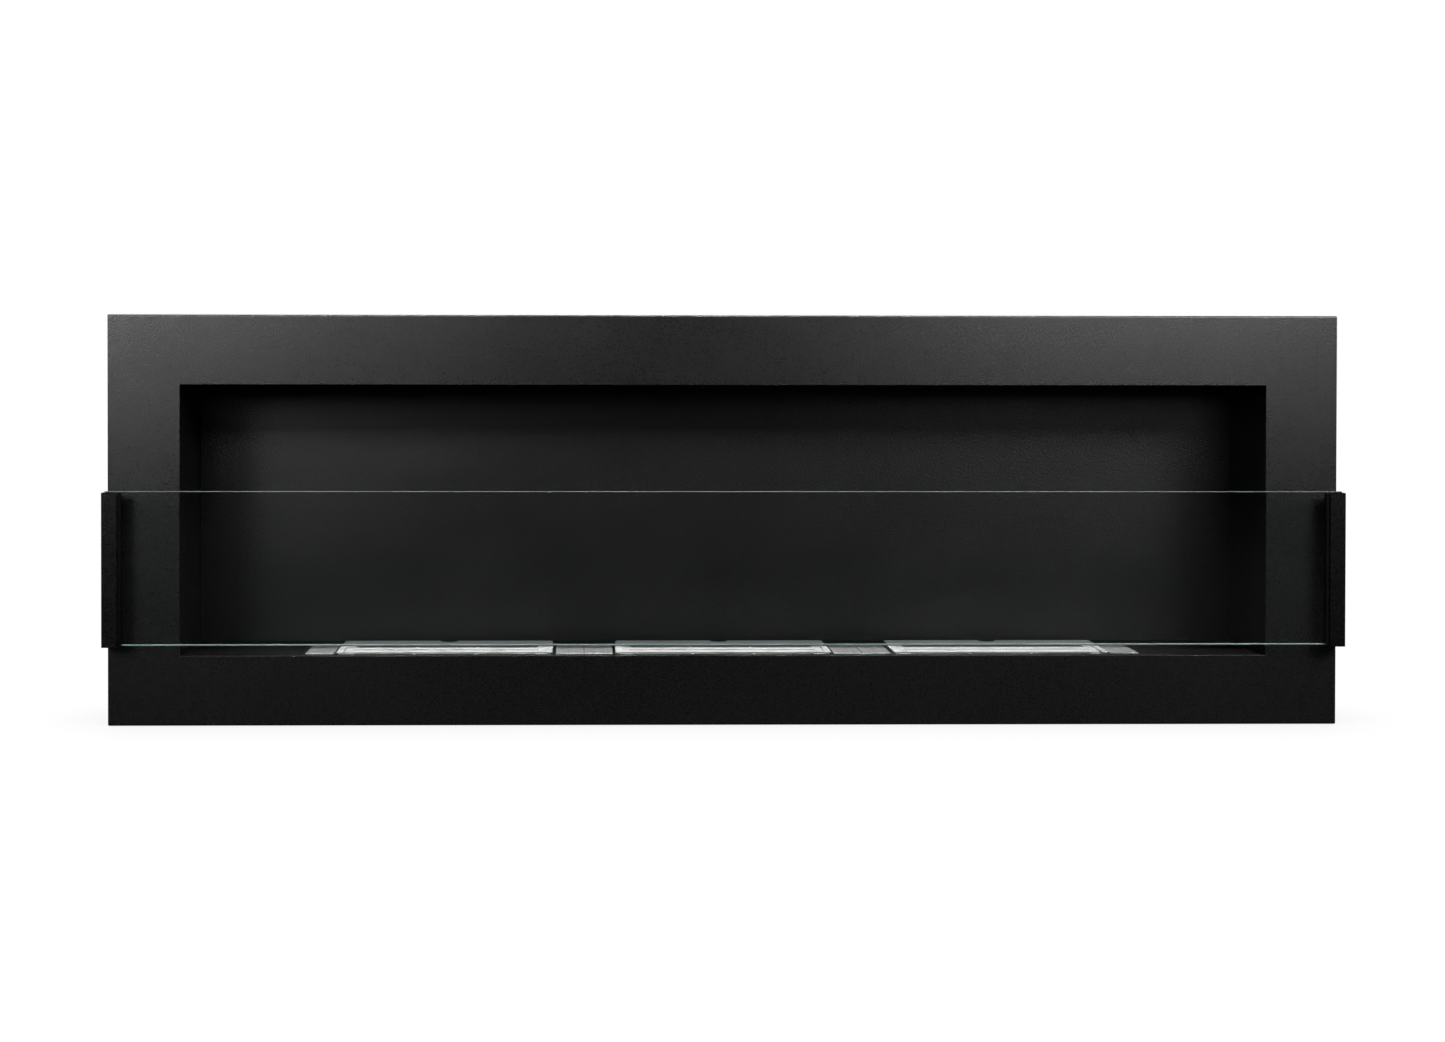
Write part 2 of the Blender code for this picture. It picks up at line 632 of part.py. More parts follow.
def regulator_outline():
    """Band between the rails, then a wider grip with round corners and a finger notch."""
    half = GRIP_WIDTH / 2
    centre = (0.0, GRIP_REAR - NOTCH_OFFSET)
    right = arc((half - GRIP_CORNER, GRIP_REAR - GRIP_CORNER), GRIP_CORNER, 0, 90, BEND_STEPS)
    left = arc((-half + GRIP_CORNER, GRIP_REAR - GRIP_CORNER), GRIP_CORNER, 90, 180, BEND_STEPS)
    notch = [(NOTCH_RADIUS, GRIP_REAR)] + arc(centre, NOTCH_RADIUS, 0, -180, NOTCH_STEPS)
    notch.append((-NOTCH_RADIUS, GRIP_REAR))
    return [(-BAND_HALF, BAND_FRONT), (BAND_HALF, BAND_FRONT), (BAND_HALF, GRIP_FRONT),
            (half, GRIP_FRONT)] + right + notch + left + [(-half, GRIP_FRONT), (-BAND_HALF, GRIP_FRONT)]


def make_regulator(number, seat, material):
    """The origin is at the band's front edge; it slides towards -Y from there."""
    top = REGULATOR_BOTTOM + GRIP_HEIGHT
    slider = make_empty(f"regulator_slide_{number}", seat, (0.0, BAND_FRONT, REGULATOR_BOTTOM))

    def place(u, v, w):
        return (u, v - BAND_FRONT, w - REGULATOR_BOTTOM)

    plate = extrusion(regulator_outline(), place, REGULATOR_BOTTOM, top)
    regulator = make_object(f"regulator_{number}", plate, slider, material)
    window_half = SLOT_ROW_LENGTH / 2 + WINDOW_MARGIN
    bead_half = BAND_HALF - BEAD_END
    bead_front = BAND_FRONT + BEAD_OFFSET
    tools = {
        "band_top": ((-HALF_WIDTH, BAND_FRONT - CUT_OVERRUN, REGULATOR_TOP),
                     (HALF_WIDTH, GRIP_FRONT, top + CUT_OVERRUN)),
        "window": ((-window_half, BAND_REAR, REGULATOR_BOTTOM - CUT_OVERRUN),
                   (window_half, GRIP_FRONT, top + CUT_OVERRUN)),
        "bead": ((-bead_half, bead_front, REGULATOR_TOP - BEAD_HEIGHT),
                 (bead_half, bead_front + BEAD_WIDTH, top + CUT_OVERRUN)),
    }
    for name, (low, high) in tools.items():
        tool = make_object(f"{name}_tool_{number}", boxes((place(*low), place(*high))), slider)
        add_boolean(regulator, tool, "DIFFERENCE")
    smooth(regulator)


def make_trim_plates(number, centre, root, material):
    inner = BURNER_WIDTH / 2 + TRIM_BURNER_GAP
    outer = (BURNER_PITCH - TRIM_JOINT) / 2
    low = FLOOR_TOP + GAP
    for side, name in ((-1, "left"), (1, "right")):
        edges = sorted((centre + side * inner, centre + side * outer))
        plate = boxes(((edges[0], TRIM_FRONT, low),
                       (edges[1], TRIM_FRONT + TRIM_DEPTH, low + TRIM_SHEET)))
        add_bevel(make_object(f"trim_plate_{number}_{name}", plate, root, material), TRIM_ROUND, 1)


def build():
    clear_scene()
    paint = make_material("black_powder_coat", (0.012, 0.012, 0.013), 0.55, 0.0)
    niche_paint = make_material("black_heat_paint", (0.009, 0.009, 0.010), 0.65, 0.0)
    brushed = make_material("brushed_stainless", (0.46, 0.46, 0.45), 0.38, 1.0)
    polished = make_material("polished_stainless", (0.72, 0.72, 0.71), 0.14, 1.0)
    tank_steel = make_material("tank_stainless", (0.50, 0.50, 0.49), 0.32, 1.0)
    glass = make_material("screen_glass", (0.80, 0.92, 0.90), 0.03, 0.0, alpha=0.25)
    rubber = make_material("seal_rubber", (0.015, 0.015, 0.015), 0.80, 0.0)
    wool = make_material("ceramic_fibre", (0.78, 0.76, 0.71), 0.95, 0.0)
    bolt = make_material("black_screw_steel", (0.02, 0.02, 0.022), 0.35, 0.8)

    root = make_empty("face_plane", None, (0.0, FACE_Y, 0.0))
    make_front_frame(root, paint)
    make_rear_cover(root, paint)
    make_cover_screws(root, bolt)
    make_niche(root, niche_paint)
    for side, name in ((-1, "left"), (1, "right")):
        make_bracket(side, name, root, paint, rubber)
        make_bracket_screws(side, name, root, bolt)
    make_glass(root, glass)
    for number, centre in enumerate(burner_centres(), start=1):
        seat = make_empty(f"burner_slide_{number}", root, (centre, 0.0, 0.0))
        make_burner_body(number, seat, polished, tank_steel, wool)
        make_guide_rails(number, seat, polished)
        make_regulator(number, seat, polished)
        make_trim_plates(number, centre, root, brushed)


build()
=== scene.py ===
"""Looks of the recessed wall fireplace: finishes, fine meshes, studio and camera.

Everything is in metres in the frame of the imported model. A fine piece starts as a copy of the
solid it stands for, so it keeps that solid's size and place, and gets rounded edges.
"""
import json
import math

import bmesh
import bpy
from mathutils import Matrix, Vector, noise

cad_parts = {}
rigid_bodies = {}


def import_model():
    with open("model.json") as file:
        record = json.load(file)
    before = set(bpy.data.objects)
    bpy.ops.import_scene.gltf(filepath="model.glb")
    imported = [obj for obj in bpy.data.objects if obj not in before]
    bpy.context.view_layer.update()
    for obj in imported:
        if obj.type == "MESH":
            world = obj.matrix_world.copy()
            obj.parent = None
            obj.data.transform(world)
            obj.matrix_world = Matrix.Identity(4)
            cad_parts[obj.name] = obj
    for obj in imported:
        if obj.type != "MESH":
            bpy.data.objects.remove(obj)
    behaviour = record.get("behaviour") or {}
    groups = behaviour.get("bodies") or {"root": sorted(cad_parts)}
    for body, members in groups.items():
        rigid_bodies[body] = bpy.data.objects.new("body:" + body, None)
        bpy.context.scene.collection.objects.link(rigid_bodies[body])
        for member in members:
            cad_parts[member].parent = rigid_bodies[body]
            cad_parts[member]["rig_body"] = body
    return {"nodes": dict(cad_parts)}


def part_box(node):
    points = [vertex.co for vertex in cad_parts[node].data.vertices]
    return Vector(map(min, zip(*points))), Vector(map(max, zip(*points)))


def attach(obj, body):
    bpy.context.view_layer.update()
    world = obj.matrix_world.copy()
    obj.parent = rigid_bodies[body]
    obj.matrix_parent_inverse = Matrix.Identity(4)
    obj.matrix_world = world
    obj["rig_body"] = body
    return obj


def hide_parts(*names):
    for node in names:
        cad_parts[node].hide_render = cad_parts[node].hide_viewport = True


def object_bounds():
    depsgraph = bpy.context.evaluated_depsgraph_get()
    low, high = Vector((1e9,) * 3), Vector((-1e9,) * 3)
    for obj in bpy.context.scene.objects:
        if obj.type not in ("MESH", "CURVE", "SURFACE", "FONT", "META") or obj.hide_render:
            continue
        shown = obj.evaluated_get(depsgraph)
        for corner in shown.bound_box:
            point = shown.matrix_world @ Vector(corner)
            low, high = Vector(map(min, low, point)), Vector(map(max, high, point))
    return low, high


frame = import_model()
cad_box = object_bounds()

MM = 0.001
NODES = frame["nodes"]
BURNERS = (1, 2, 3)
SIDES = ("left", "right")


# Finishes

class Finish:
    """A Principled material, with short calls for the nodes that every finish is made of."""

    def __init__(self, name, colour, roughness, **sockets):
        self.material = bpy.data.materials.new(f"{name}_finish")
        self.material.use_nodes = True
        self.tree = self.material.node_tree
        self.shader = self.tree.nodes["Principled BSDF"]
        self.place = self.add("ShaderNodeTexCoord").outputs["Object"]
        self.shader.inputs["Base Color"].default_value = (*colour, 1.0)
        self.shader.inputs["Roughness"].default_value = roughness
        for socket, value in sockets.items():
            self.shader.inputs[socket.replace("_", " ")].default_value = value

    def add(self, kind, **inputs):
        node = self.tree.nodes.new(kind)
        for name, value in inputs.items():
            self.feed(node.inputs[name.replace("_", " ")], value)
        return node

    def feed(self, socket, value):
        if isinstance(value, bpy.types.NodeSocket):
            self.tree.links.new(value, socket)
        else:
            socket.default_value = value

    def stretched(self, stretch):
        return self.add("ShaderNodeMapping", Vector=self.place, Scale=stretch).outputs["Vector"]

    def noise(self, size, stretch=(1, 1, 1), detail=2.0, roughness=0.5):
        """Noise with features of about that size in metres, drawn out along an axis by a small stretch."""
        node = self.add("ShaderNodeTexNoise", Vector=self.stretched(stretch), Scale=1 / size,
                        Detail=detail, Roughness=roughness)
        return node.outputs["Fac"]

    def span(self, value, low, high, start=0.35, end=0.65):
        """The value's stretch from start to end, as a number from low to high."""
        node = self.add("ShaderNodeMapRange", Value=value, From_Min=start, From_Max=end,
                        To_Min=low, To_Max=high)
        return node.outputs["Result"]

    def axis(self, name):
        return self.add("ShaderNodeSeparateXYZ", Vector=self.place).outputs[name]

    def multiply(self, first, second):
        node = self.add("ShaderNodeMath")
        node.operation = "MULTIPLY"
        self.feed(node.inputs[0], first)
        self.feed(node.inputs[1], second)
        return node.outputs[0]

    def plus(self, first, second):
        node = self.add("ShaderNodeMath")
        self.feed(node.inputs[0], first)
        self.feed(node.inputs[1], second)
        return node.outputs[0]

    def blend(self, factor, first, second):
        node = self.add("ShaderNodeMix")
        node.data_type = "RGBA"
        self.feed(node.inputs["Factor"], factor)
        for socket, colour in zip((node.inputs[6], node.inputs[7]), (first, second)):
            self.feed(socket, colour if isinstance(colour, bpy.types.NodeSocket) else (*colour, 1.0))
        return node.outputs[2]

    def let_lamps_through(self, tint):
        """Lamps shine through the surface, so what is behind the glass is lit."""
        clear = self.add("ShaderNodeBsdfTransparent", Color=(*tint, 1.0))
        rays = self.add("ShaderNodeLightPath")
        lamps = self.plus(rays.outputs["Is Shadow Ray"], rays.outputs["Is Reflection Ray"])
        mixed = self.add("ShaderNodeMixShader", Fac=lamps)
        self.tree.links.new(self.shader.outputs["BSDF"], mixed.inputs[1])
        self.tree.links.new(clear.outputs["BSDF"], mixed.inputs[2])
        output = self.tree.nodes["Material Output"]
        self.tree.links.new(mixed.outputs["Shader"], output.inputs["Surface"])

    def colour(self, value):
        self.feed(self.shader.inputs["Base Color"], value)

    def roughness(self, value):
        self.feed(self.shader.inputs["Roughness"], value)

    def bump(self, *layers):
        """Each layer is a height from 0 to 1 and what it is worth in metres."""
        normal = None
        for height, depth in layers:
            node = self.add("ShaderNodeBump", Height=height, Distance=depth)
            node.inputs["Strength"].default_value = 1.0
            if normal:
                self.feed(node.inputs["Normal"], normal)
            normal = node.outputs["Normal"]
        self.feed(self.shader.inputs["Normal"], normal)


def powder_coat(name, dark, light, shine):
    """Satin black powder coat: a fine pebble with soft orange peel and a few dust specks."""
    paint = Finish(name, dark, 0.34, Specular_IOR_Level=shine)
    pebble = paint.noise(1.1 * MM, detail=1.0)
    peel = paint.noise(9 * MM, detail=1.0)
    patches = paint.noise(140 * MM, detail=2.0)
    specks = paint.span(paint.noise(0.6 * MM, detail=0.0), 0.0, 1.0, 0.70, 0.78)
    body = paint.blend(paint.span(pebble, 0.0, 1.0), dark, light)
    paint.colour(paint.blend(specks, body, tuple(4 * c for c in light)))
    paint.roughness(paint.plus(paint.span(pebble, 0.25, 0.36), paint.span(patches, -0.012, 0.012)))
    paint.bump((peel, 0.02 * MM), (pebble, 0.20 * MM))
    return paint.material


def heat_paint():
    """Flatter heat-proof black inside the niche, with a dry grain and faint heat clouds low down."""
    paint = Finish("black_heat_paint", (0.003, 0.003, 0.0033), 0.39, Specular_IOR_Level=0.33)
    grain = paint.noise(1.1 * MM, detail=1.0)
    clouds = paint.noise(110 * MM, (1, 1, 1.6), detail=2.0)
    low = paint.span(paint.axis("Z"), 1.0, 0.0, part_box("niche_back")[0].z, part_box("niche_back")[1].z)
    haze = paint.multiply(low, paint.span(clouds, 0.0, 1.0))
    body = paint.blend(paint.span(grain, 0.0, 1.0), (0.0018, 0.0018, 0.0020), (0.0036, 0.0036, 0.0039))
    paint.colour(paint.blend(haze, body, (0.0046, 0.0045, 0.0044)))
    paint.roughness(paint.plus(paint.span(grain, 0.33, 0.45), paint.span(clouds, -0.015, 0.015)))
    paint.bump((clouds, 0.05 * MM), (grain, 0.26 * MM))
    return paint.material


def steel(name, tone, smoothest, roughest, groove, brushed="X", metallic=1.0):
    """Stainless steel drawn along one axis: hairlines, a slow change of tone, small scratches."""
    metal = Finish(name, tone, smoothest, Metallic=metallic)
    along = tuple(0.012 if axis == brushed else 1.0 for axis in "XYZ")
    hairline = metal.noise(0.35 * MM, along, detail=3.0, roughness=0.65)
    streak = metal.noise(2.2 * MM, tuple(s * 1.5 if s < 1 else s for s in along), detail=2.0)
    handling = metal.noise(34 * MM, detail=2.0)
    scratches = metal.span(metal.noise(1.4 * MM, (0.5, 0.03, 0.5), detail=1.0), 0.0, 1.0, 0.70, 0.76)
    dull = tuple(0.80 * c for c in tone)
    body = metal.blend(metal.span(streak, 0.0, 1.0), tone, dull)
    metal.colour(metal.blend(metal.multiply(scratches, 0.35), body, tuple(0.6 * c for c in tone)))
    lines = metal.span(hairline, smoothest, roughest)
    metal.roughness(metal.plus(lines, metal.span(handling, -0.03, 0.04)))
    metal.bump((hairline, groove), (scratches, -groove))
    return metal.material


def tank_steel():
    """Plain mill-finish stainless: mottled, with faint rolling lines."""
    metal = Finish("tank_stainless", (0.48, 0.48, 0.47), 0.32, Metallic=1.0)
    mottle = metal.noise(14 * MM, detail=2.0)
    rolling = metal.noise(0.8 * MM, (0.02, 1, 1), detail=2.0)
    metal.colour(metal.blend(metal.span(mottle, 0.0, 1.0), (0.44, 0.44, 0.43), (0.50, 0.50, 0.49)))
    metal.roughness(metal.plus(metal.span(mottle, 0.34, 0.40), metal.span(rolling, -0.02, 0.02)))
    metal.bump((rolling, 0.004 * MM))
    return metal.material


def ceramic_fibre():
    """Needled ceramic fibre: off-white, fluffy, a little scorched in patches."""
    wool = Finish("ceramic_fibre", (0.74, 0.72, 0.67), 0.95, Specular_IOR_Level=0.2, Sheen_Weight=0.3)
    fibres = wool.noise(0.5 * MM, (0.12, 1, 1), detail=4.0, roughness=0.7)
    tufts = wool.noise(4 * MM, detail=4.0)
    scorch = wool.span(wool.noise(22 * MM, detail=3.0), 0.0, 1.0, 0.52, 0.72)
    body = wool.blend(wool.span(tufts, 0.0, 1.0), (0.80, 0.78, 0.73), (0.62, 0.60, 0.55))
    wool.colour(wool.blend(scorch, body, (0.40, 0.35, 0.29)))
    wool.roughness(wool.span(fibres, 0.88, 1.0))
    wool.bump((tufts, 0.4 * MM), (fibres, 0.12 * MM))
    return wool.material


def rubber():
    """Matt black silicone with a fine moulded grain and a dusty bloom."""
    seal = Finish("seal_rubber", (0.002, 0.002, 0.002), 0.85, Specular_IOR_Level=0.04)
    grain = seal.noise(0.5 * MM, detail=3.0)
    bloom = seal.noise(14 * MM, detail=2.0)
    seal.colour(seal.blend(seal.span(bloom, 0.0, 1.0), (0.0015, 0.0015, 0.0015), (0.0030, 0.0030, 0.0029)))
    seal.roughness(seal.span(grain, 0.62, 0.80))
    seal.bump((grain, 0.015 * MM))
    return seal.material


def screw_steel():
    """Black-oxide steel with turning marks and bare metal showing in specks."""
    metal = Finish("black_screw_steel", (0.02, 0.02, 0.022), 0.34, Metallic=0.85)
    grain = metal.noise(0.35 * MM, detail=3.0)
    wear = metal.span(metal.noise(1.1 * MM, detail=4.0, roughness=0.7), 0.0, 1.0, 0.60, 0.72)
    metal.colour(metal.blend(wear, (0.016, 0.016, 0.018), (0.10, 0.10, 0.10)))
    metal.roughness(metal.span(grain, 0.28, 0.44))
    metal.bump((grain, 0.01 * MM))
    return metal.material


def clear_glass():
    """Clear toughened pane with a barely uneven surface and a trace of wiped haze."""
    glass = Finish("screen_glass", (0.985, 0.995, 0.992), 0.0, Transmission_Weight=1.0, IOR=1.5)
    waves = glass.noise(160 * MM, detail=1.0)
    wipe = glass.noise(26 * MM, (0.35, 1, 1), detail=3.0)
    glass.roughness(glass.span(wipe, 0.0, 0.004, 0.45, 0.75))
    glass.bump((waves, 0.01 * MM))
    glass.let_lamps_through((0.93, 0.95, 0.945))
    return glass.material


def glass_edge():
    """Ground edge of the pane: milky sea-green with grinding marks along it, duller on top, and coloured
    darker towards the top as painted shade.
    """
    edge = Finish("screen_glass_edge", (0.72, 0.90, 0.86), 0.25, Transmission_Weight=0.15, IOR=1.5,
                  Specular_IOR_Level=0.12)
    marks = edge.noise(0.3 * MM, (0.02, 1, 1), detail=2.0)
    clouding = edge.noise(12 * MM, (0.3, 1, 1), detail=3.0)
    milk = edge.blend(edge.span(clouding, 0.0, 1.0), (0.50, 0.70, 0.66), (0.70, 0.88, 0.84))
    low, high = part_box("glass_pane")
    upper = edge.span(edge.axis("Z"), 0.0, 0.85, low.z, high.z)
    # Painted shade: the edge colour turns dark grey towards the top of the pane, so the top arris shows less
    # light than the bottom rim.
    edge.colour(edge.blend(upper, milk, (0.022, 0.024, 0.024)))
    edge.let_lamps_through((0.80, 0.92, 0.90))
    edge.roughness(edge.plus(edge.span(marks, 0.16, 0.34), edge.multiply(upper, 0.6)))
    edge.bump((marks, 0.01 * MM))
    return edge.material


FINISH = {
    "black_powder_coat": powder_coat("black_powder_coat", (0.0022, 0.0022, 0.0024),
                                     (0.0048, 0.0048, 0.0051), 0.5),
    "black_heat_paint": heat_paint(),
    "brushed_stainless": steel("brushed_stainless", (0.46, 0.46, 0.455), 0.42, 0.58, 0.02 * MM, "Y", 0.72),
    "polished_stainless": steel("polished_stainless", (0.95, 0.95, 0.945), 0.24, 0.34, 0.006 * MM, "X", 0.3),
    "tank_stainless": tank_steel(),
    "ceramic_fibre": ceramic_fibre(),
    "seal_rubber": rubber(),
    "black_screw_steel": screw_steel(),
    "screen_glass": clear_glass(),
}
# Painted shade: a dark steel tone for the upright faces of the polished sheets, which stand in shade; its
# higher roughness is the sheared edges' real dullness.
CUT_EDGE_AND_SHADE_STEEL = steel("cut_edge_and_shade_stainless", (0.20, 0.20, 0.195), 0.34, 0.42, 0.002 * MM)
# Satin steel for the grip behind the slots; on the floor of the pressed groove it is painted shade.
GRIP_AND_GROOVE_SHADE_STEEL = steel("grip_and_groove_shade_stainless", (0.62, 0.62, 0.61), 0.42, 0.54, 0.01 * MM, "X", 0.45)
BRACKET_COAT = powder_coat("bracket_powder_coat", (0.0012, 0.0012, 0.0013), (0.0024, 0.0024, 0.0026), 0.23)


def finish_node(slot, *names):
    """CAD nodes whose shape is right as it is only get their finish."""
    for name in names:
        slots = NODES[name].material_slots
        if not slots:
            NODES[name].data.materials.append(None)
        for material_slot in NODES[name].material_slots:
            material_slot.material = FINISH[slot]


finish_node("black_powder_coat", "rear_cover")
finish_node("black_heat_paint", "niche_floor", "niche_ceiling", "niche_wall_left", "niche_wall_right",
            "niche_back")


# Fine pieces

WELD = 0.01 * MM                # points of the CAD mesh closer than this are one
SHEET_ROUND = 0.12 * MM         # rounded edges of polished sheet
RUBBER_ROUND = 0.25 * MM
TANK_ROUND = 0.25 * MM
RAIL_ABOVE_BARS = 0.9 * MM      # the rails' top above the regulator's bars
GROOVE_STEP = 0.1 * MM          # anything further below the bars' top is their groove


def body_of_node(node):
    return NODES[node]["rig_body"]


def add_piece(name, mesh_builder, slot, *nodes):
    """A new piece in the row frame that stands for these CAD nodes and rides on their body."""
    mesh = bpy.data.meshes.new(name)
    mesh_builder.to_mesh(mesh)
    mesh_builder.free()
    mesh.materials.append(FINISH[slot])
    piece = bpy.data.objects.new(name, mesh)
    bpy.context.scene.collection.objects.link(piece)
    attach(piece, body_of_node(nodes[0]))
    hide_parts(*nodes)
    return piece


def solid_of(node):
    """The CAD node's solid with its flat faces whole again, ready for bevels."""
    mesh_builder = bmesh.new()
    mesh_builder.from_mesh(NODES[node].data)
    bmesh.ops.remove_doubles(mesh_builder, verts=mesh_builder.verts, dist=WELD)
    bmesh.ops.dissolve_limit(mesh_builder, angle_limit=math.radians(1), verts=mesh_builder.verts,
                             edges=mesh_builder.edges)
    for face in mesh_builder.faces:
        face.smooth = True
    return mesh_builder


def rounded(node, slot, width, segments=2, angle=35):
    """A fine copy of a CAD node whose sharp edges are rounded to that width."""
    piece = add_piece(f"{node}_fine", solid_of(node), slot, node)
    if width:
        bevel = piece.modifiers.new("edges", "BEVEL")
        bevel.width = width
        bevel.segments = segments
        bevel.limit_method = "ANGLE"
        bevel.angle_limit = math.radians(angle)
    else:
        piece.data.set_sharp_from_angle(angle=math.radians(angle))
    flat = piece.modifiers.new("flat_faces", "WEIGHTED_NORMAL")
    flat.weight = 100
    flat.keep_sharp = True
    return piece


def dull_and_shade_upright_faces(piece):
    """Every upright face of a sheet gets a duller, darker steel: the dullness is that of the sheared edges,
    and the darkness is painted shade on faces that turn sideways, such as the burners' front faces.
    """
    piece.data.materials.append(CUT_EDGE_AND_SHADE_STEEL)
    for face in piece.data.polygons:
        if abs(face.normal.z) < 0.5:
            # Painted shade: upright faces take the dark steel.
            face.material_index = 1
    return piece


def dress_grip(regulator, number):
    """The grip behind the slots is satin and the bars beside it polished; the pressed groove takes the same
    darker satin steel as painted shade in the crease.
    """
    regulator.data.materials.append(GRIP_AND_GROOVE_SHADE_STEEL)
    rail_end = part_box(f"guide_rail_{number}_left")[1].y
    bar_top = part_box(f"guide_rail_{number}_left")[1].z - RAIL_ABOVE_BARS
    for face in regulator.data.polygons:
        # Painted shade: the groove floor below the bars' top is darkened with the grip steel.
        in_shaded_groove = face.normal.z > 0.5 and face.center.z < bar_top - GROOVE_STEP
        if face.material_index == 0 and (face.center.y > rail_end or in_shaded_groove):
            face.material_index = 2


rounded("front_frame", "black_powder_coat", 0)
for side in SIDES:
    bracket = rounded(f"glass_bracket_{side}", "black_powder_coat", 0)
    bracket.data.materials[0] = BRACKET_COAT
    rounded(f"glass_gasket_{side}", "seal_rubber", RUBBER_ROUND)
for number in BURNERS:
    dull_and_shade_upright_faces(rounded(f"burner_top_{number}", "polished_stainless", SHEET_ROUND))
    rounded(f"fuel_tank_{number}", "tank_stainless", TANK_ROUND, 3)
    dress_grip(dull_and_shade_upright_faces(rounded(f"regulator_{number}", "polished_stainless", SHEET_ROUND)), number)
    for side in SIDES:
        dull_and_shade_upright_faces(rounded(f"guide_rail_{number}_{side}", "polished_stainless", SHEET_ROUND))
        rounded(f"trim_plate_{number}_{side}", "brushed_stainless", 0)


# Glass pane

PANE_ARRIS = 0.5 * MM
LOWER_ARRIS = 1.1 * MM          # along the two long lower edges
LEVEL = 0.1 * MM                # a point this close to the pane's underside is on it


def make_pane():
    """The pane: its broad faces are clear, and the ground rim and arrises are milky."""
    low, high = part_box("glass_pane")
    size = high - low
    pane = bmesh.new()
    bmesh.ops.create_cube(pane, size=1.0)
    bmesh.ops.scale(pane, vec=size, verts=pane.verts)
    bmesh.ops.translate(pane, vec=(low + high) / 2, verts=pane.verts)
    lower = [e for e in pane.edges
             if all(abs(v.co.z - low.z) < LEVEL for v in e.verts) and e.calc_length() > size.x / 2]
    bmesh.ops.bevel(pane, geom=lower, offset=LOWER_ARRIS, segments=1, affect="EDGES")
    square = [e for e in pane.edges if e.calc_face_angle() > math.radians(80)]
    bmesh.ops.bevel(pane, geom=square, offset=PANE_ARRIS, segments=1, affect="EDGES")
    for face in pane.faces:
        face.normal_update()
        face.material_index = 1 if abs(face.normal.y) < 0.9 else 0
    piece = add_piece("glass_pane_fine", pane, "screen_glass", "glass_pane")
    piece.data.materials.append(glass_edge())


make_pane()


# Screws

SCREW_SIDES = 48
SOCKET_SIDES = 6
SHANK = 0.5                     # this and the next sizes are shares of the head's radius
BUTTON_HEIGHT = 0.46
BUTTON_SOCKET = (0.38, 0.36)    # corner radius, depth
COUNTERSUNK_HEIGHT = 0.42
COUNTERSUNK_SOCKET = (0.42, 0.40)


def hexagon_radius(angle, corner_radius):
    """Distance from the middle to the side of a hexagon, in that direction."""
    sector = 2 * math.pi / SOCKET_SIDES
    offset = (angle % sector) - sector / 2
    return corner_radius * math.cos(sector / 2) / math.cos(offset)


def make_screw(name, node, slot, profile, socket, axis):
    """A turned screw with a hexagon socket. The profile runs from the tip to the socket's rim as
    (radius, height); the socket is (corner radius, depth); axis is the way the head faces."""
    low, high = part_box(node)
    turn = Vector(axis).to_track_quat("Z", "Y").to_matrix().to_4x4()
    middle = (low + high) / 2
    head_face = Vector(high[i] if axis[i] > 0 else low[i] if axis[i] < 0 else middle[i] for i in range(3))
    corner, depth = socket
    top = profile[-1][1]
    rings = []
    for radius, height in profile:
        rings.append([(radius, height)] * SCREW_SIDES)
    angles = [2 * math.pi * i / SCREW_SIDES for i in range(SCREW_SIDES)]
    hexagon = [hexagon_radius(a, corner) for a in angles]
    socket_rings = ((1.08, top), (1.0, top - 0.12 * corner), (1.0, top - depth), (0.5, top - depth * 1.12))
    for shrink, height in socket_rings:
        rings.append([(h * shrink, height) for h in hexagon])
    screw = bmesh.new()
    loops = [[screw.verts.new((r * math.cos(a), r * math.sin(a), h)) for a, (r, h) in zip(angles, ring)]
             for ring in rings]
    for first, second in zip(loops, loops[1:]):
        for i in range(SCREW_SIDES):
            j = (i + 1) % SCREW_SIDES
            screw.faces.new((first[i], first[j], second[j], second[i]))
    screw.faces.new(reversed(loops[0]))
    screw.faces.new(loops[-1])
    for face in screw.faces:
        face.smooth = True
    bmesh.ops.transform(screw, matrix=Matrix.Translation(head_face) @ turn @
                        Matrix.Translation((0, 0, -top)), verts=screw.verts)
    piece = add_piece(name, screw, slot, node)
    piece.data.set_sharp_from_angle(angle=math.radians(30))


def button_profile(length, radius, head_radius, head_height):
    """Threaded shank, then a domed head with a rounded rim."""
    shank = thread(length - head_height, radius, 0.7 * MM)
    dome = [(head_radius * math.cos(math.radians(a)),
             length - head_height * (0.62 - 0.62 * math.sin(math.radians(a)))) for a in range(0, 61, 10)]
    rim = [(head_radius - 0.2 * MM, length - head_height), (head_radius, length - head_height * 0.9)]
    return shank + rim + dome


def countersunk_profile(length, radius, head_radius, head_height):
    shank = thread(length - head_height, radius, 0.5 * MM)
    return shank + [(head_radius - 0.1 * MM, length - 0.15 * MM), (head_radius, length - 0.06 * MM),
                    (head_radius - 0.1 * MM, length)]


def thread(length, radius, pitch):
    """A shank whose outline steps in and out once a pitch."""
    turns = int((length - radius) / pitch)
    points = [(radius * 0.45, 0.0), (radius * 0.82, radius * 0.5)]
    for i in range(turns):
        base = radius * 0.5 + i * pitch
        points += [(radius * 0.82, base + 0.2 * pitch), (radius, base + 0.6 * pitch)]
    points += [(radius * 0.9, radius * 0.5 + turns * pitch), (radius * 0.9, length)]
    return points


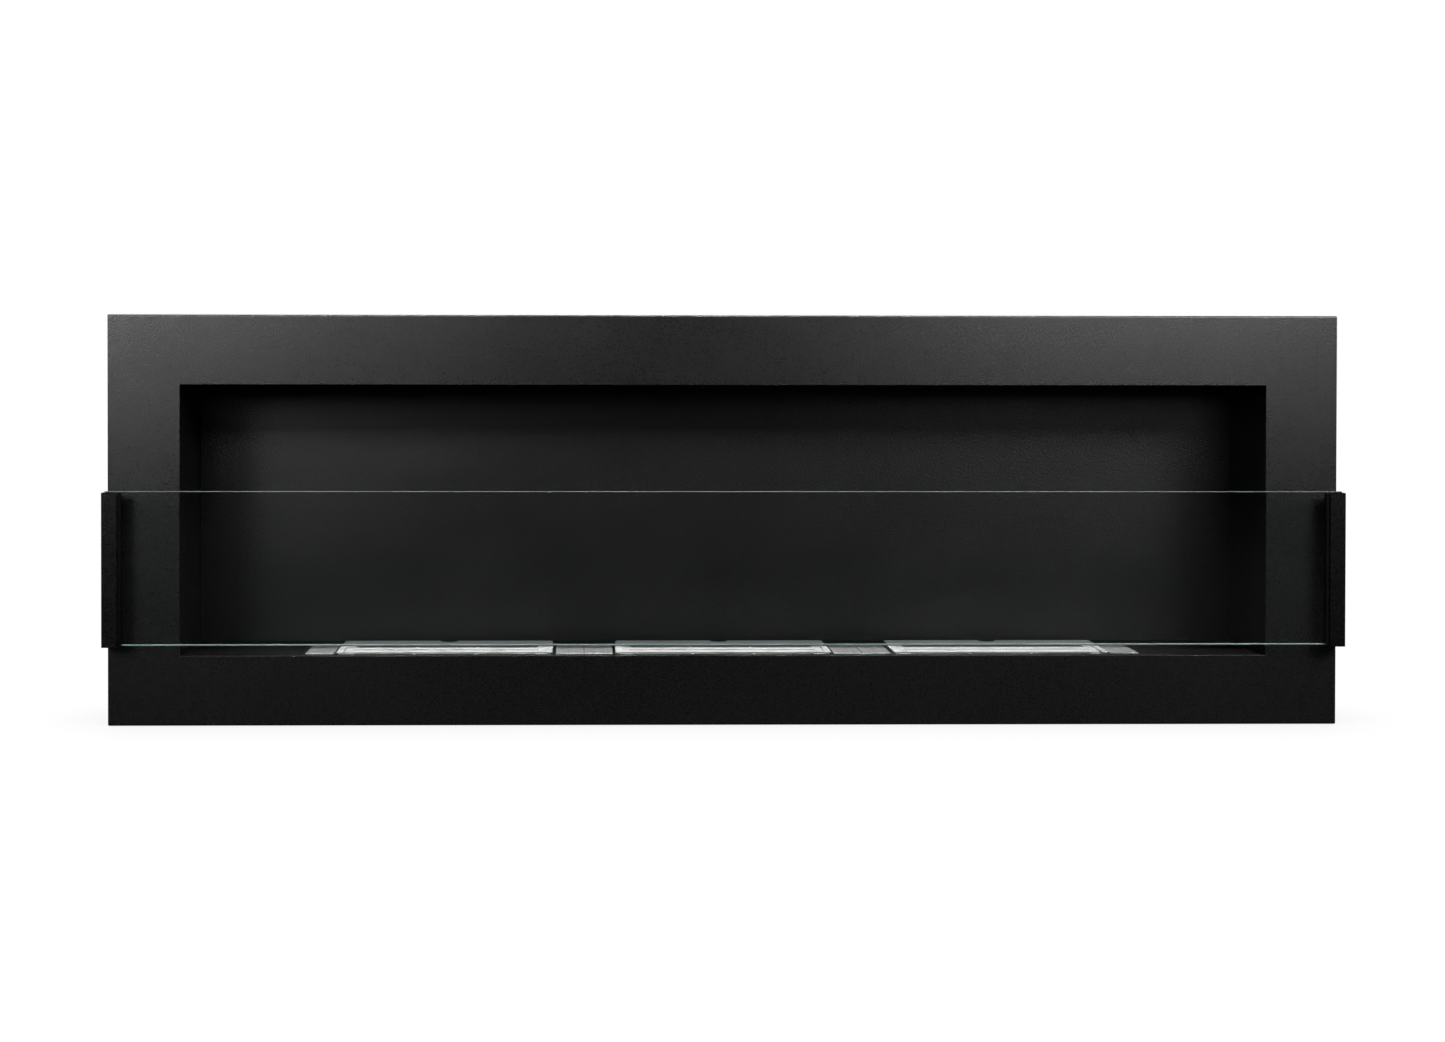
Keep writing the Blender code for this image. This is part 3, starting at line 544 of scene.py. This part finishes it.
def make_screws():
    for side, way in zip(SIDES, (-1, 1)):
        for level in ("lower", "upper"):
            node = f"bracket_screw_{side}_{level}"
            low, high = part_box(node)
            head_radius = (high.z - low.z) / 2
            profile = button_profile(high.x - low.x, head_radius * SHANK, head_radius,
                                     head_radius * BUTTON_HEIGHT)
            make_screw(f"{node}_fine", node, "black_screw_steel", profile,
                       [head_radius * share for share in BUTTON_SOCKET], (way, 0, 0))
    for number in range(1, 7):
        node = f"rear_cover_screw_{number}"
        low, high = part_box(node)
        head_radius = (high.z - low.z) / 2
        profile = countersunk_profile(high.y - low.y, head_radius * SHANK, head_radius,
                                      head_radius * COUNTERSUNK_HEIGHT)
        make_screw(f"{node}_fine", node, "black_screw_steel", profile,
                   [head_radius * share for share in COUNTERSUNK_SOCKET], (0, 1, 0))


make_screws()


# Wool blocks

WOOL_CELL = 2.2 * MM
WOOL_SINK = 0.9 * MM            # deepest dent between two tufts
WOOL_TUFT = 5 * MM
WOOL_SKIN = 0.1 * MM            # a point this close to a face of the block is on it


def make_wool(number):
    """A block of needled fibre: its skin sinks in soft tufts, so it stays inside the CAD block."""
    node = f"ceramic_wool_{number}"
    low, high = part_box(node)
    size = high - low
    block = bmesh.new()
    bmesh.ops.create_cube(block, size=1.0)
    bmesh.ops.scale(block, vec=size, verts=block.verts)
    bmesh.ops.translate(block, vec=(low + high) / 2, verts=block.verts)
    for axis in range(3):
        across = [e for e in block.edges if abs((e.verts[0].co - e.verts[1].co)[axis]) > size[axis] / 2]
        bmesh.ops.subdivide_edges(block, edges=across, cuts=int(size[axis] / WOOL_CELL),
                                  use_grid_fill=True)
    middle = (low + high) / 2
    for vertex in block.verts:
        tuft = noise.fractal(vertex.co / WOOL_TUFT, 0.6, 2.0, 4, noise_basis="PERLIN_ORIGINAL")
        sink = WOOL_SINK * min(1.0, max(0.0, 0.5 + 0.5 * tuft))
        for axis in range(3):
            edge = size[axis] / 2 - abs(vertex.co[axis] - middle[axis])
            if edge < WOOL_SKIN:
                vertex.co[axis] -= math.copysign(sink, vertex.co[axis] - middle[axis])
    for face in block.faces:
        face.smooth = True
    add_piece(f"{node}_fine", block, "ceramic_fibre", node)


for number in BURNERS:
    make_wool(number)


# Studio

FLOOR_REACH = 14.0
FLOOR_DROP = 0.5 * MM           # below the casing's underside
CONTACT_SHADOW = 0.12           # reach of the soft shadow
FLOOR_SHADED = 0.82             # how bright the floor looks in that shadow
FLOOR_OPEN = 1.02               # and away from it
AMBIENT = 0.02
FLOOR_BOUNCE = 0.04


def backdrop_shader(tree, seen, other):
    """Shows one shader to the camera and lights the part with the other."""
    rays = tree.nodes.new("ShaderNodeLightPath")
    mixed = tree.nodes.new("ShaderNodeMixShader")
    tree.links.new(rays.outputs["Is Camera Ray"], mixed.inputs["Fac"])
    tree.links.new(other, mixed.inputs[1])
    tree.links.new(seen, mixed.inputs[2])
    return mixed.outputs["Shader"]


def make_world():
    world = bpy.data.worlds.new("studio")
    world.use_nodes = True
    tree = world.node_tree
    tree.nodes.clear()
    seen = tree.nodes.new("ShaderNodeBackground")
    seen.inputs["Color"].default_value = (1, 1, 1, 1)
    dim = tree.nodes.new("ShaderNodeBackground")
    dim.inputs["Color"].default_value = (AMBIENT, AMBIENT, AMBIENT, 1)
    output = tree.nodes.new("ShaderNodeOutputWorld")
    shown = backdrop_shader(tree, seen.outputs[0], dim.outputs[0])
    tree.links.new(shown, output.inputs["Surface"])
    bpy.context.scene.world = world


def make_floor():
    """Pale floor: nearly white to the camera with a soft contact shadow, dim to everything else."""
    floor = bmesh.new()
    bmesh.ops.create_grid(floor, x_segments=1, y_segments=1, size=FLOOR_REACH)
    mesh = bpy.data.meshes.new("floor")
    floor.to_mesh(mesh)
    floor.free()
    material = bpy.data.materials.new("pale_floor")
    material.use_nodes = True
    tree = material.node_tree
    tree.nodes.clear()
    glow = tree.nodes.new("ShaderNodeEmission")
    nearness = tree.nodes.new("ShaderNodeAmbientOcclusion")
    nearness.inputs["Distance"].default_value = CONTACT_SHADOW
    tone = tree.nodes.new("ShaderNodeMapRange")
    tone.inputs["To Min"].default_value = FLOOR_SHADED
    tone.inputs["To Max"].default_value = FLOOR_OPEN
    tree.links.new(nearness.outputs["AO"], tone.inputs["Value"])
    tree.links.new(tone.outputs["Result"], glow.inputs["Strength"])
    dim = tree.nodes.new("ShaderNodeBsdfDiffuse")
    dim.inputs["Color"].default_value = (FLOOR_BOUNCE, FLOOR_BOUNCE, FLOOR_BOUNCE, 1)
    output = tree.nodes.new("ShaderNodeOutputMaterial")
    shown = backdrop_shader(tree, glow.outputs[0], dim.outputs[0])
    tree.links.new(shown, output.inputs["Surface"])
    mesh.materials.append(material)
    obj = bpy.data.objects.new("floor", mesh)
    obj.location.z = cad_box[0].z - FLOOR_DROP
    bpy.context.scene.collection.objects.link(obj)


def make_light(name, place, aim, width, height, power, spread=180):
    """A softbox. Its light leaves within that spread in degrees, as through a honeycomb grid."""
    data = bpy.data.lights.new(name, "AREA")
    data.spread = math.radians(spread)
    data.shape = "RECTANGLE"
    data.size = width
    data.size_y = height
    data.energy = power
    light = bpy.data.objects.new(name, data)
    light.location = place
    light.visible_camera = False
    light.rotation_mode = "QUATERNION"
    light.rotation_quaternion = (Vector(aim) - Vector(place)).to_track_quat("-Z", "Y")
    bpy.context.scene.collection.objects.link(light)


GRID_SPREAD = 50                # degrees
GRIDDED_Y = -1.3
GRIDDED_INWARD = 0.6            # a gridded strip aims at this share of its own x
GRIDDED_ABOVE = 1.55            # and at this share of the casing's height
STRIP = (0.6, 0.3)              # width and height of the strips and of the near fill
FILL = (0.8, 0.55)
GRIDDED = {                     # name: x, z, watts
    "far_left_low": (-1.4, 0.6, 0.52),
    "far_left_high": (-1.4, 1.0, 2.53),
    "left_low": (-0.7, 0.6, 0.13),
    "left_high": (-0.7, 1.0, 0.99),
    "right_low": (0.7, 0.6, 0.26),
    "right_high": (0.7, 1.0, 0.82),
    "far_right_high": (1.4, 1.0, 1.09),
}
FRONT_MIDDLE = (0, 0, 0.25)     # where the two broad fills point


def make_studio():
    """Gridded strips aimed just over the casing, so the face darkens downwards, broad soft fills, one
    lamp from above for the burners, and lamps behind and beside the casing that miss its front."""
    top = cad_box[1].z
    for name, (x, z, power) in GRIDDED.items():
        aim = (GRIDDED_INWARD * x, 0, GRIDDED_ABOVE * top)
        make_light(name, (x, GRIDDED_Y, z), aim, *STRIP, power, GRID_SPREAD)
    make_light("fill_left", (-1.7, -2.3, 0.95), FRONT_MIDDLE, *FILL, 13.1)
    make_light("fill_right", (1.7, -2.3, 1.6), FRONT_MIDDLE, *FILL, 29.5)
    make_light("fill_near", (1.3, -1.0, 1.2), (0.91, 0, 0.3), *STRIP, 10.9)
    make_light("overhead", (0, -0.31, 1.5), (0, -0.01, 0.17 * top), 1.2, 0.05, 2.2, 36)
    make_light("rear", (0, 2.4, 0.3), (0, 0, 0.2), 0.9, 0.25, 14)
    for side, way in zip(SIDES, (-1, 1)):
        make_light(f"side_{side}", (2.4 * way, 0.35, 0.75), (0.6 * way, 0.03, 0.2), 0.7, 0.4, 14)


CAMERA_PLACE = (-0.14304, -2.15432, 0.35754)
CAMERA_YAW = 0.01702            # radians, clockwise from above
CAMERA_PITCH = 0.01096          # downwards
CAMERA_ROLL = 0.0012
CAMERA_LENS = 53.874            # mm, on a 36 mm sensor
CAMERA_SENSOR = 36.0
CAMERA_SHIFT = (0.07425, -0.09592)


def make_camera():
    """Level view from slightly left of the middle, at about the height of the casing's top."""
    yaw, pitch, roll = CAMERA_YAW, CAMERA_PITCH, CAMERA_ROLL
    ahead = Vector((math.sin(yaw) * math.cos(pitch), math.cos(yaw) * math.cos(pitch), -math.sin(pitch)))
    level = Vector((math.cos(yaw), -math.sin(yaw), 0.0))
    upright = level.cross(ahead)
    right = level * math.cos(roll) + upright * math.sin(roll)
    up = upright * math.cos(roll) - level * math.sin(roll)
    data = bpy.data.cameras.new("camera")
    data.lens = CAMERA_LENS
    data.sensor_width = CAMERA_SENSOR
    data.shift_x, data.shift_y = CAMERA_SHIFT
    camera = bpy.data.objects.new("camera", data)
    camera.rotation_mode = "QUATERNION"
    camera.rotation_quaternion = Matrix((right, up, -ahead)).transposed().to_quaternion()
    camera.location = CAMERA_PLACE
    bpy.context.scene.collection.objects.link(camera)
    bpy.context.scene.camera = camera


bpy.context.scene.view_settings.view_transform = "Standard"
make_world()
make_floor()
make_studio()
make_camera()
